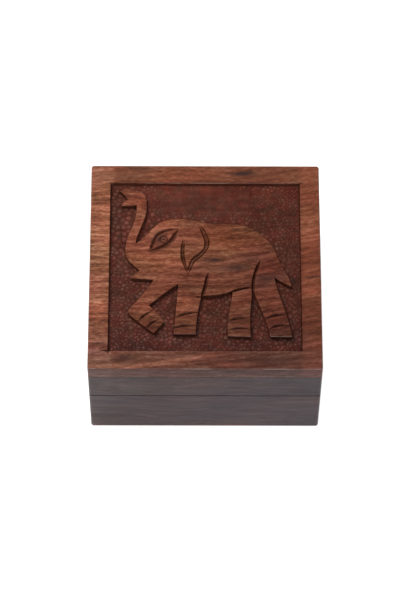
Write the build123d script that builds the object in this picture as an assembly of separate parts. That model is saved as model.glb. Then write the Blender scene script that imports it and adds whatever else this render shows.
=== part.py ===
from build123d import *

import math
import os

# A square box of dark hardwood whose carved lid turns on two small brass butt hinges.
# Millimetres. +X is right, -Y is the front and +Z is up. The origin is the centre of the underside.

# ---- Casework ----
WIDTH = 101.6
DEPTH = 101.6
BASE_HEIGHT = 31.0  # from the underside to the rim that the lid closes on
LID_WALL_HEIGHT = 18.15  # from the rim to the underside of the lid's board
BOARD_THICKNESS = 8.0
WALL = 9.5
FLOOR_THICKNESS = 4.0
FLOOR_RABBET = 4.5  # how far the floor reaches into each wall
CORNER_RADIUS = 1.2  # upright edges
EDGE_RADIUS = 0.6  # edges of the lid's top
FOOT_CHAMFER = 0.4  # edges of the underside
RIM_CHAMFER = 0.3  # outer edges of the two rims
BOARD_CHAMFER = 0.15  # lower edge of the board, where it is glued to the lid's walls
LINING_THICKNESS = 1.0
LINING_CLEARANCE = 0.3  # between the felt and the walls

# ---- Carving ----
BORDER_SIDE = 8.7
BORDER_FRONT = 8.8
BORDER_BACK = 9.2
CARVING_DEPTH = 2.0
DRAWN_FIELD = 84.0  # the width of the field that the elephant is drawn for

# The elephant's outline, clockwise from the tip of the trunk, about the centre of the lid.
# Two points are a straight cut, three an arc, and more a smooth curve. Each stretch ends at
# a sharp corner, where the next one starts.
ELEPHANT = [
    # top of the trunk, down to the notch at the forehead
    [
        (-38.2, 37.6),
        (-34.6, 38.8),
        (-30.6, 37.8),
        (-27.2, 35.9),
        (-25.9, 31.5),
        (-26.3, 25.5),
        (-28.2, 19.6),
        (-30.6, 11.0),
    ],
    # forehead, head, back, rump and the outside of the tail
    [
        (-30.6, 11.0),
        (-26.0, 15.0),
        (-21.6, 20.2),
        (-17.0, 22.8),
        (-11.0, 23.5),
        (-4.0, 22.4),
        (4.0, 20.8),
        (12.0, 20.8),
        (20.0, 18.9),
        (26.0, 14.4),
        (29.6, 9.8),
        (32.6, 2.3),
        (36.5, -5.8),
        (37.9, -10.4),
    ],
    # underside of the tail
    [(37.9, -10.4), (34.0, -8.4), (30.4, -5.9)],
    # far hind leg
    [(30.4, -5.9), (31.9, -12.7), (34.2, -20.1), (36.3, -27.5), (37.8, -35.1)],
    [(37.8, -35.1), (28.3, -35.0)],
    [(28.3, -35.0), (25.8, -25.7), (22.9, -17.6), (20.8, -12.0)],
    # near hind leg
    [(20.8, -12.0), (19.8, -22.0), (19.8, -35.1)],
    [(19.8, -35.1), (9.9, -34.6)],
    [(9.9, -34.6), (10.1, -26.0), (11.3, -18.4), (12.0, -12.8)],
    # belly
    [(12.0, -12.8), (5.5, -14.4), (-1.6, -15.0)],
    # near foreleg
    [(-1.6, -15.0), (-3.4, -25.0), (-4.1, -33.8)],
    [(-4.1, -33.8), (-13.7, -33.8)],
    [(-13.7, -33.8), (-12.7, -22.0), (-11.8, -9.2)],
    # raised foreleg: under the thigh, behind the shin, the sole, the front of the foot,
    # round the knee, and up the thigh to the jaw
    [(-11.8, -9.2), (-18.0, -14.0), (-24.5, -19.8)],
    [(-24.5, -19.8), (-20.6, -23.9), (-17.7, -27.9)],
    [(-17.7, -27.9), (-22.3, -33.4)],
    [(-22.3, -33.4), (-26.8, -29.8), (-32.0, -25.3)],
    [(-32.0, -25.3), (-33.3, -23.2), (-32.6, -20.8)],
    [(-32.6, -20.8), (-27.0, -13.9), (-22.6, -7.1)],
    # jaw and mouth
    [(-22.6, -7.1), (-32.8, -6.4)],
    [(-32.8, -6.4), (-30.5, -4.2), (-28.7, -2.4)],
    # cheek and the underside of the trunk
    [
        (-28.7, -2.4),
        (-32.2, 0.8),
        (-34.6, 4.4),
        (-35.1, 9.6),
        (-33.7, 15.5),
        (-31.3, 22.0),
        (-30.5, 26.6),
        (-30.3, 30.4),
    ],
    # the two lips at the end of the trunk
    [(-30.3, 30.4), (-37.0, 30.1)],
    [(-37.0, 30.1), (-36.0, 32.1), (-34.3, 33.1)],
    [(-34.3, 33.1), (-35.9, 35.5), (-38.2, 37.6)],
]

# ---- Hinges ----
OPENING_ANGLE = 100.0  # degrees that the lid turns before the bevelled back edges meet
BEVEL_SPARE_ANGLE = 1.0  # degrees that each bevel gives way beyond that
BEVEL_CLEARANCE = 0.2  # from the hinge axis forward to where the bevels start
AXIS_INSET = 2.2  # from the back face forward to the hinge axis
HINGE_INSET = 14.0  # from the side of the box to the near end of a hinge
HINGE_LENGTH = 20.0
KNUCKLES = 3
KNUCKLE_GAP = 0.1
BARREL_RADIUS = 1.5
PIN_RADIUS = 0.65
PIN_CLEARANCE = 0.04
PIN_OVERHANG = 0.25  # how far the pin's eased end stands out of each end of the barrel
LEAF_THICKNESS = 0.9
LEAF_SINK = 0.1  # how far a leaf lies below the rim
LEAF_MARGIN = 1.2  # wood left between the leaf and the inside of the box
LEAF_RELIEF = 0.2  # between a leaf and the other leaf's knuckles
MORTISE_CLEARANCE = 0.1
BARREL_CLEARANCE = 0.3  # between the barrel and the square notch cut for it
SLIT = 0.12  # opening where the rolled knuckle comes back to its leaf
SCREW_INSET = 4.0  # from the end of a leaf to its screw
SCREW_LENGTH = 7.0
SCREW_TIP = 1.6  # length of the pointed end
SHANK_RADIUS = 0.75
HEAD_RADIUS = 1.5
SCREW_CLEARANCE = 0.02
SLOT_WIDTH = 0.5
SLOT_DEPTH = 0.35

HEIGHT = BASE_HEIGHT + LID_WALL_HEIGHT + BOARD_THICKNESS
BOARD_BOTTOM = BASE_HEIGHT + LID_WALL_HEIGHT
AXIS_Y = DEPTH / 2 - AXIS_INSET
LEAF_FRONT = DEPTH / 2 - WALL + LEAF_MARGIN + MORTISE_CLEARANCE
RELIEF_Y = AXIS_Y - BARREL_RADIUS - LEAF_RELIEF
SCREW_Y = (LEAF_FRONT + RELIEF_Y) / 2
HINGE_CENTRE = WIDTH / 2 - HINGE_INSET - HINGE_LENGTH / 2
HINGES = {"left": -HINGE_CENTRE, "right": HINGE_CENTRE}
BOTTOM = (Align.CENTER, Align.CENTER, Align.MIN)
ALONG_X = Rot(0, 90, 0)


def slab(x, y, z):
    """A block between two limits on each axis."""
    size = [high - low for low, high in (x, y, z)]
    middle = [(low + high) / 2 for low, high in (x, y, z)]
    return Pos(*middle) * Box(*size)


def rounded_block(bottom, top):
    """The whole box between two heights, with its upright edges rounded."""
    outline = RectangleRounded(WIDTH, DEPTH, CORNER_RADIUS)
    return Pos(0, 0, bottom) * extrude(outline, top - bottom)


def end_edges(block, top):
    """The edges round the top or the bottom of a block."""
    return block.faces().sort_by(Axis.Z)[-1 if top else 0].edges()


def upside_down(shape):
    """The shape mirrored in the plane of the rims: a lid half from its base half."""
    return mirror(shape, Plane.XY.offset(BASE_HEIGHT))


# ---- Cuts in the base, which the lid has upside down ----


def back_bevel():
    """The wedge off the back edge that leaves room for the barrels and stops the open lid."""
    start = AXIS_Y - BEVEL_CLEARANCE
    reach = DEPTH / 2 + 1 - start
    drop = reach * math.tan(math.radians(OPENING_ANGLE / 2 + BEVEL_SPARE_ANGLE))
    wedge = Plane.YZ * Polygon(
        (start, BASE_HEIGHT),
        (start + reach, BASE_HEIGHT),
        (start + reach, BASE_HEIGHT - drop),
        align=None,
    )
    return extrude(wedge, WIDTH, both=True)


def screw_places(x):
    offset = HINGE_LENGTH / 2 - SCREW_INSET
    return [Pos(x + side * offset, SCREW_Y, BASE_HEIGHT - LEAF_SINK) for side in (-1, 1)]


def hinge_pocket(x):
    """What is cut from a back wall for one hinge: the leaf's mortise, the barrel and the screws."""
    half = HINGE_LENGTH / 2 + MORTISE_CLEARANCE
    mortise = slab(
        (x - half, x + half),
        (LEAF_FRONT - MORTISE_CLEARANCE, AXIS_Y),
        (BASE_HEIGHT - LEAF_SINK - LEAF_THICKNESS, BASE_HEIGHT),
    )
    half = HINGE_LENGTH / 2 + PIN_OVERHANG + BARREL_CLEARANCE
    room = BARREL_RADIUS + BARREL_CLEARANCE
    notch = slab(
        (x - half, x + half),
        (AXIS_Y - room, DEPTH / 2 + 1),
        (BASE_HEIGHT - room, BASE_HEIGHT),
    )
    pocket = mortise + notch
    for place in screw_places(x):
        pocket += place * Pos(0, 0, -SCREW_LENGTH - SCREW_CLEARANCE) * Cylinder(
            SHANK_RADIUS + SCREW_CLEARANCE, SCREW_LENGTH, align=BOTTOM
        )
    return pocket


def barrel(x, radius, length):
    """A cylinder on the hinge axis, centred at x."""
    return Pos(x, AXIS_Y, BASE_HEIGHT) * ALONG_X * Cylinder(radius, length)


# ---- Brass ----


def hinge_leaf(x, first):
    """A leaf in the base, with every second knuckle from the one numbered first."""
    bottom = BASE_HEIGHT - LEAF_SINK - LEAF_THICKNESS
    top = BASE_HEIGHT - LEAF_SINK
    left = x - HINGE_LENGTH / 2
    leaf = slab((left, left + HINGE_LENGTH), (LEAF_FRONT, RELIEF_Y), (bottom, top))
    pitch = HINGE_LENGTH / KNUCKLES
    for number in range(first, KNUCKLES, 2):
        start = left + number * pitch + (KNUCKLE_GAP / 2 if number else 0)
        end = left + (number + 1) * pitch - (KNUCKLE_GAP / 2 if number < KNUCKLES - 1 else 0)
        leaf += slab((start, end), (RELIEF_Y, AXIS_Y), (bottom, top))
        leaf += barrel((start + end) / 2, BARREL_RADIUS, end - start)
        leaf -= slab((start, end), (RELIEF_Y, AXIS_Y), (top, top + SLIT))
    leaf -= barrel(x, PIN_RADIUS + PIN_CLEARANCE, HINGE_LENGTH + 1)
    for place in screw_places(x):
        leaf -= place * screw_envelope(SCREW_CLEARANCE)
    return leaf


def screw_envelope(clearance):
    """A countersunk screw hanging from z = 0, its head flush, grown by a clearance."""
    head = HEAD_RADIUS + clearance
    shank = SHANK_RADIUS + clearance
    cone = Cone(shank, head, HEAD_RADIUS - SHANK_RADIUS, align=BOTTOM)
    straight = SCREW_LENGTH - SCREW_TIP
    return Pos(0, 0, SHANK_RADIUS - HEAD_RADIUS) * cone + Pos(0, 0, -straight) * Cylinder(
        shank, straight, align=BOTTOM
    )


def hinge_screws(x):
    """The two slotted screws of one leaf in the base."""
    screw = screw_envelope(0)
    screw += Pos(0, 0, -SCREW_LENGTH) * Cone(0, SHANK_RADIUS, SCREW_TIP, align=BOTTOM)
    screw -= Pos(0, 0, -SLOT_DEPTH) * Box(
        2 * HEAD_RADIUS, SLOT_WIDTH, SLOT_DEPTH, align=BOTTOM
    )
    return [place * screw for place in screw_places(x)]


def hinge_pin(x):
    """The pin of one hinge, its two ends eased."""
    pin = barrel(x, PIN_RADIUS, HINGE_LENGTH + 2 * PIN_OVERHANG)
    return chamfer(pin.edges().filter_by(GeomType.CIRCLE), PIN_OVERHANG)


# ---- Wood and felt ----


def inside(clearance=0.0):
    """The half width and half depth inside the walls."""
    return WIDTH / 2 - WALL - clearance, DEPTH / 2 - WALL - clearance


def mitred_walls(block):
    """The block cut into four walls that meet at the corners' diagonals."""
    x, y = WIDTH / 2, DEPTH / 2
    u, v = inside()
    outer = [(-x, -y), (x, -y), (x, y), (-x, y)]
    inner = [(-u, -v), (u, -v), (u, v), (-u, v)]
    walls = {}
    for i, side in enumerate(("front", "right", "back", "left")):
        j = (i + 1) % 4
        plan = Polygon(outer[i], outer[j], inner[j], inner[i], align=None)
        walls[side] = block & extrude(plan, HEIGHT)
    return walls


def floor_room():
    """The floor's own shape: it fills the rabbet and lies flush with the underside."""
    u, v = inside(-FLOOR_RABBET)
    return slab((-u, u), (-v, v), (0, FLOOR_THICKNESS))


def base_walls():
    block = rounded_block(0, BASE_HEIGHT)
    block = chamfer(end_edges(block, top=False), FOOT_CHAMFER)
    block = chamfer(end_edges(block, top=True), RIM_CHAMFER)
    walls = mitred_walls(block - floor_room() - back_bevel())
    for x in HINGES.values():
        walls["back"] -= hinge_pocket(x)
    return walls


def lid_walls():
    block = rounded_block(BASE_HEIGHT, BOARD_BOTTOM)
    block = chamfer(end_edges(block, top=False), RIM_CHAMFER)
    walls = mitred_walls(block - upside_down(back_bevel()))
    for x in HINGES.values():
        walls["back"] -= upside_down(hinge_pocket(x))
    return walls


def stretch(points):
    if len(points) == 2:
        return Line(*points)
    if len(points) == 3:
        return ThreePointArc(*points)
    return Spline(*points)


def elephant(scale):
    """The elephant's outline as a face in the plane of the underside."""
    drawn = [[(x * scale, y * scale) for x, y in points] for points in ELEPHANT]
    return make_face([stretch(points) for points in drawn])


def lid_board():
    """The top board, with the ground round the elephant cut away."""
    board = rounded_block(BOARD_BOTTOM, HEIGHT)
    board = fillet(end_edges(board, top=True), EDGE_RADIUS)
    board = chamfer(end_edges(board, top=False), BOARD_CHAMFER)
    left, right = BORDER_SIDE - WIDTH / 2, WIDTH / 2 - BORDER_SIDE
    front, back = BORDER_FRONT - DEPTH / 2, DEPTH / 2 - BORDER_BACK
    ground = slab((left, right), (front, back), (HEIGHT - CARVING_DEPTH, HEIGHT))
    scale = min(right - left, back - front + BORDER_BACK - BORDER_FRONT) / DRAWN_FIELD
    raised = Pos(0, 0, HEIGHT - CARVING_DEPTH) * extrude(elephant(scale), CARVING_DEPTH)
    return board - (ground - raised)


def floor_lining():
    u, v = inside(LINING_CLEARANCE)
    return slab((-u, u), (-v, v), (FLOOR_THICKNESS, FLOOR_THICKNESS + LINING_THICKNESS))


# ---- Sub-parts ----


def sub_parts():
    parts = {"lid_panel": lid_board(), "base_floor": floor_room(), "felt_lining": floor_lining()}
    for side, wall in base_walls().items():
        parts[f"base_wall_{side}"] = wall
    for side, wall in lid_walls().items():
        parts[f"lid_wall_{side}"] = wall
    for side, x in HINGES.items():
        screws = hinge_screws(x)
        parts[f"{side}_hinge_base_leaf"] = hinge_leaf(x, first=0)
        parts[f"{side}_hinge_lid_leaf"] = upside_down(hinge_leaf(x, first=1))
        parts[f"{side}_hinge_pin"] = hinge_pin(x)
        parts[f"{side}_hinge_base_screws"] = Compound(children=screws)
        parts[f"{side}_hinge_lid_screws"] = Compound(
            children=[upside_down(screw) for screw in screws]
        )
    return parts


os.makedirs("parts", exist_ok=True)
for name, shape in sub_parts().items():
    export_step(shape, f"parts/{name}.step")
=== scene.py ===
# %% [markdown]
# # A carved wooden dice box
#
# The box is a small square case of dark hardwood. Its lid is carved with an elephant that stands
# in a sunken, punched ground, and it turns on two brass butt hinges at the back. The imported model
# already holds every piece at its real size. This lesson gives each one its real surface, and
# carves what a knife and a punch would: the V cuts, the ground and the worn edges.

# %% Load the frame
import math
import random

import bmesh
import bpy
from mathutils import Matrix, Vector
from mathutils.bvhtree import BVHTree
from mathutils.kdtree import KDTree
from mathutils.noise import noise


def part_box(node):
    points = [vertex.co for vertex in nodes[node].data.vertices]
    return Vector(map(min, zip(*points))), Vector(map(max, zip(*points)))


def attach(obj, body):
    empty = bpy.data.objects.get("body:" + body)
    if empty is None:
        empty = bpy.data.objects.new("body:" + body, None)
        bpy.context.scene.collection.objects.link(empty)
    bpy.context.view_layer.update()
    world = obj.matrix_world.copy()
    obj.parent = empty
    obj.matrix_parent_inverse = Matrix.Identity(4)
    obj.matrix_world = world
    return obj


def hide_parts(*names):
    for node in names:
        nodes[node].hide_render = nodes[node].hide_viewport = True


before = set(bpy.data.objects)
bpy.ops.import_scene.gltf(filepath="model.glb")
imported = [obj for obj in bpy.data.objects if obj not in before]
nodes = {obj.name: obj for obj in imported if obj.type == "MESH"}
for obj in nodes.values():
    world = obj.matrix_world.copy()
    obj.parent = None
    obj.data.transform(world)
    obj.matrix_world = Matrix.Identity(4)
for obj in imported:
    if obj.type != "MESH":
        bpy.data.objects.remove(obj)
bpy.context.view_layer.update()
MM = 0.001

board_low, board_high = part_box("lid_panel")
lid_top = board_high.z
print("the lid is", round((board_high.x - board_low.x) / MM, 1), "mm wide")

# %% [markdown]
# ## A few small helpers for materials
#
# Every finish here is a graph of nodes. Written out socket by socket, such a graph hides what it
# does. So one helper adds a node with its settings and joins what it is given, and a few more
# stand for what every finish repeats: a sum, a noise, a ramp, a blend. A finish then reads from
# top to bottom like a recipe.


# %% Node helpers
def add(tree, kind, inputs=None, **settings):
    """A shader node. Inputs are plain values, or other nodes' outputs to link."""
    node = tree.nodes.new("ShaderNode" + kind)
    for name, value in settings.items():
        setattr(node, name, value)
    for name, value in (inputs or {}).items():
        if isinstance(value, bpy.types.NodeSocket):
            tree.links.new(value, node.inputs[name])
        else:
            node.inputs[name].default_value = value
    return node


def math_node(tree, operation, first, second=0.5, third=0.5, clamp=False):
    """One sum, product or comparison, and its output."""
    inputs = {0: first, 1: second, 2: third}
    return add(tree, "Math", inputs, operation=operation, use_clamp=clamp).outputs[0]


def times(tree, first, *others):
    """The product of two or more values."""
    for other in others:
        first = math_node(tree, "MULTIPLY", first, other)
    return first


def vector_node(tree, operation, *inputs):
    """One sum or product of vectors, and its vector output."""
    return add(tree, "VectorMath", dict(enumerate(inputs)), operation=operation).outputs[0]


def split(tree, vector):
    """The X, Y and Z outputs of a vector."""
    return add(tree, "SeparateXYZ", {0: vector}).outputs


def object_place(tree):
    """Where a point of the surface is on its piece, in metres."""
    return add(tree, "TexCoord").outputs["Object"]


def round_noise(tree, vector, scale, detail):
    """Noise that is as long as it is wide, and its value output."""
    return add(tree, "TexNoise", {"Vector": vector, "Scale": scale, "Detail": detail}).outputs["Fac"]


# %% Colour helpers
def grey(value):
    """A colour whose three parts are alike."""
    return (value, value, value)


def ramp(tree, factor, stops, ease="EASE"):
    """A colour ramp through (position, colour) stops, and its colour output."""
    node = add(tree, "ValToRGB", {"Fac": factor})
    node.color_ramp.interpolation = ease
    elements = node.color_ramp.elements
    while len(elements) < len(stops):
        elements.new(0.5)
    for element, (position, colour) in zip(elements, stops):
        element.position = position
        element.color = (*colour, 1.0)
    return node.outputs["Color"]


def mix(tree, how, factor, first, second):
    """Two colours blended, and the colour output."""
    node = add(tree, "Mix", data_type="RGBA", blend_type=how)
    for socket, value in ((0, factor), (6, first), (7, second)):
        if isinstance(value, bpy.types.NodeSocket):
            tree.links.new(value, node.inputs[socket])
        elif socket:
            node.inputs[socket].default_value = (*value, 1.0)
        else:
            node.inputs[socket].default_value = value
    return node.outputs[2]


def tinted(tree, base, factor, stops, strength=1.0):
    """The base times a ramp of greys or tints."""
    return mix(tree, "MULTIPLY", strength, base, ramp(tree, factor, stops))


def new_finish(name):
    """An empty material, its node tree, and its surface shader joined to the output."""
    material = bpy.data.materials.new(name)
    material.use_nodes = True
    tree = material.node_tree
    tree.nodes.clear()
    shader = add(tree, "BsdfPrincipled")
    add(tree, "OutputMaterial", {"Surface": shader.outputs["BSDF"]})
    return material, tree, shader


def finish_with(tree, shader, base, roughness, height, strength, distance):
    """The colour, the roughness and a bump from a height, joined to the surface shader."""
    bump = add(tree, "Bump", {"Height": height, "Strength": strength, "Distance": distance})
    tree.links.new(base, shader.inputs["Base Color"])
    tree.links.new(roughness, shader.inputs["Roughness"])
    tree.links.new(bump.outputs[0], shader.inputs["Normal"])


# %% [markdown]
# ## Rosewood
#
# Indian rosewood has wavy bands from orange brown to nearly black, with finer streaks and short
# flecks in them, hair-fine dark pores and the faint rings of the years. Images of wood could be
# wrapped round each piece, but their grain stops at every edge. A pattern that fills the space
# the piece stands in runs through it as a log's does. All of it is long along the grain and
# narrow across it, so each part is a noise whose coordinates are squeezed along one axis. The
# rings are a zigzag across the grain, pushed to and fro by the bands, and one more noise turns
# the hue. A slow noise first bends the coordinates, which makes the grain wander as it does round
# a knot. The board, the walls and the floor each get their own cut of the tree: a piece turns the
# grain, moves to another part of the log, and names its own dark, middle and light brown.


# %% Grain
def squeezed_noise(tree, vector, scale, squeeze, detail, roughness=0.55):
    """Noise that is long along X, and its value output."""
    stretched = add(tree, "Mapping", {"Vector": vector, "Scale": (squeeze, 1.0, 1.0)})
    inputs = {
        "Vector": stretched.outputs[0],
        "Scale": scale,
        "Detail": detail,
        "Roughness": roughness,
    }
    return add(tree, "TexNoise", inputs).outputs["Fac"]


def grain_coordinates(tree, turn, shift, wander, bend=None):
    """Object coordinates with the grain along X, bent by a given curve and by a slow noise."""
    place = object_place(tree)
    if bend:
        place = bend(tree, place)
    turned = add(tree, "Mapping", {"Vector": place, "Location": shift, "Rotation": turn}).outputs[0]
    slow = add(tree, "TexNoise", {"Vector": turned, "Scale": 16.0, "Detail": 2.0}).outputs["Color"]
    centred = vector_node(tree, "SUBTRACT", slow, grey(0.5))
    return vector_node(tree, "MULTIPLY_ADD", centred, (0.0, wander, wander), turned)


def weighed(tree, parts, contrast):
    """0.5 and the sum of some noises about their middle, each times its weight and the contrast."""
    total = 0.5 - sum(contrast * weight / 2 for _, weight in parts)
    for value, weight in parts:
        total = math_node(tree, "MULTIPLY_ADD", value, contrast * weight, total)
    return total


# %% Rosewood
RINGS_PER_METRE, RING_PUSH = 260.0, 5.0


def rosewood(name, browns, marks, turn=(0, 0, 0), shift=(0, 0, 0), wander=0.02, contrast=1.0,
             gloss=0.36, shine=0.2, length=1.0, bend=None):
    """A waxed rosewood surface. Marks is a function that changes the colour by place."""
    material, tree, shader = new_finish(name)
    along = grain_coordinates(tree, turn, shift, wander, bend)
    bands = squeezed_noise(tree, along, 62.0, 0.20 / length, detail=2.5)
    streaks = squeezed_noise(tree, along, 520.0, 0.12 / length, detail=5.0, roughness=0.72)
    flecks = squeezed_noise(tree, along, 1500.0, 0.24 / length, detail=2.0)
    pores = squeezed_noise(tree, along, 2600.0, 0.07, detail=1.0)

    pushed = times(tree, bands, RING_PUSH)
    years = math_node(tree, "MULTIPLY_ADD", split(tree, along)["Y"], RINGS_PER_METRE, pushed)
    rings = times(tree, math_node(tree, "PINGPONG", years, 0.5), 2.0)

    dark, middle, light = browns
    value = weighed(tree, [(bands, 0.55), (streaks, 0.70), (flecks, 0.54), (rings, 0.14)], contrast)
    base = ramp(tree, value, [(0.26, dark), (0.50, middle), (0.76, light)], "LINEAR")
    base = tinted(tree, base, pores, [(0.60, grey(1.0)), (0.68, grey(0.55))], 0.75 * contrast)
    hues = squeezed_noise(tree, along, 95.0, 0.35, detail=3.0)
    base = tinted(tree, base, hues, [(0.36, (0.98, 1.06, 1.03)), (0.64, (1.02, 0.89, 0.93))], contrast)

    rough = ramp(tree, streaks, [(0.3, grey(gloss + 0.12)), (0.7, grey(gloss - 0.04))])
    relief = math_node(tree, "MULTIPLY_ADD", pores, -0.6, streaks)
    finish_with(tree, shader, marks(tree, base), rough, relief, strength=0.12, distance=0.2 * MM)
    shader.inputs["Specular IOR Level"].default_value = shine
    return material


# %% Worn edges
WORN = (0.33, 0.22, 0.175)


def broken_up(tree, mask, start, full, scale=330.0, least=0.0):
    """A mask that noise breaks into nicks, with the least strength between them."""
    patches = round_noise(tree, object_place(tree), scale, 4.0)
    return tinted(tree, mask, patches, [(start, grey(least)), (full, grey(1))])


def worn_edges(tree, base, radius=0.45 * MM, colour=WORN):
    """The colour with its edges rubbed pale by hands."""
    soft = add(tree, "Bevel", {"Radius": radius}, samples=6).outputs[0]
    sharp = add(tree, "NewGeometry").outputs["Normal"]
    turned = add(tree, "VectorMath", {0: soft, 1: sharp}, operation="DOT_PRODUCT").outputs["Value"]
    mask = ramp(tree, turned, [(0.82, grey(1.0)), (0.96, grey(0.0))])
    return mix(tree, "MIX", broken_up(tree, mask, 0.52, 0.68), base, colour)


# %% [markdown]
# ## The carved board
#
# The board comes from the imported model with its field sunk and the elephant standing, all with
# sharp arrises. A carver's arris is never sharp: the knife and the sandpaper round it. The packed
# mesh is loose triangles, so a copy of it is joined up first, and its flat faces are made whole.
# Then a bevel can run cleanly round the elephant and round the field.


# %% Join the board up
def joined_copy(node):
    """A bmesh of a CAD node, its triangles joined and its flat faces dissolved into whole ones."""
    bm = bmesh.new()
    bm.from_mesh(nodes[node].data)
    bmesh.ops.remove_doubles(bm, verts=bm.verts, dist=0.001 * MM)
    bmesh.ops.dissolve_limit(bm, angle_limit=math.radians(0.5), verts=bm.verts, edges=bm.edges)
    return bm


def upright_faces(bm, reach):
    """A search tree of the upright faces within a reach of the middle, to measure distances to."""
    points, corners = [], []
    for face in bm.faces:
        if abs(face.normal.z) < 0.3 and max(map(abs, face.calc_center_median()[:2])) < reach:
            corners.append(range(len(points), len(points) + len(face.verts)))
            points.extend(vert.co.copy() for vert in face.verts)
    return BVHTree.FromPolygons(points, corners)


board = joined_copy("lid_panel")
whole_board = BVHTree.FromBMesh(board)
around_field = board_high.x - 6 * MM
inside_field = board_high.x - 10 * MM
all_walls = upright_faces(board, around_field)
elephant_walls = upright_faces(board, inside_field)
print("the plain board has", len(board.faces), "faces")

# %% Round its arrises
ARRIS = 0.28 * MM


def upper_arrises(bm, level, reach):
    """The edges at one height within a reach of the middle, where a flat top meets a wall."""
    found = []
    for edge in bm.edges:
        ends = [vert.co for vert in edge.verts]
        if any(abs(end.z - level) > 0.01 * MM for end in ends):
            continue
        if any(max(abs(end.x), abs(end.y)) > reach for end in ends):
            continue
        if any(abs(face.normal.z) < 0.5 for face in edge.link_faces):
            found.append(edge)
    return found


arrises = upper_arrises(board, lid_top, around_field)
bmesh.ops.bevel(
    board,
    geom=arrises,
    offset=ARRIS,
    segments=3,
    profile=0.5,
    affect="EDGES",
    material=-1,
    clamp_overlap=False,
)
print("arrises rounded:", len(arrises))

# %% From a bmesh to an object
CRISP = math.radians(35)


def shade_smooth(bm, angle):
    """Curved stretches shaded smooth, and level faces and corners past the angle kept crisp."""
    for face in bm.faces:
        face.smooth = abs(face.normal.z) < 0.9999
    for edge in bm.edges:
        edge.smooth = len(edge.link_faces) == 2 and edge.calc_face_angle(0) < angle


def to_object(bm, name, material, angle=CRISP):
    """A finished object at the origin from a bmesh, shaded smooth up to an angle."""
    shade_smooth(bm, angle)
    mesh = bpy.data.meshes.new(name)
    bm.to_mesh(mesh)
    bm.free()
    mesh.materials.append(material)
    piece = bpy.data.objects.new(name, mesh)
    bpy.context.scene.collection.objects.link(piece)
    return piece


# %% [markdown]
# ## The knife's V cuts
#
# The eye, the ear, the toes and the lines between the legs are V cuts: two slanting strokes of
# a knife that meet at the bottom and narrow towards the ends. A bump in the finish could hint at
# them, but it has no walls for the light to fall on. A curve with a three-cornered profile has
# the shape of such a cut, and its radius at each point makes it taper. Each one is swept into a
# solid here, and taken from the board with a boolean when the board has its finish.

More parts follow.
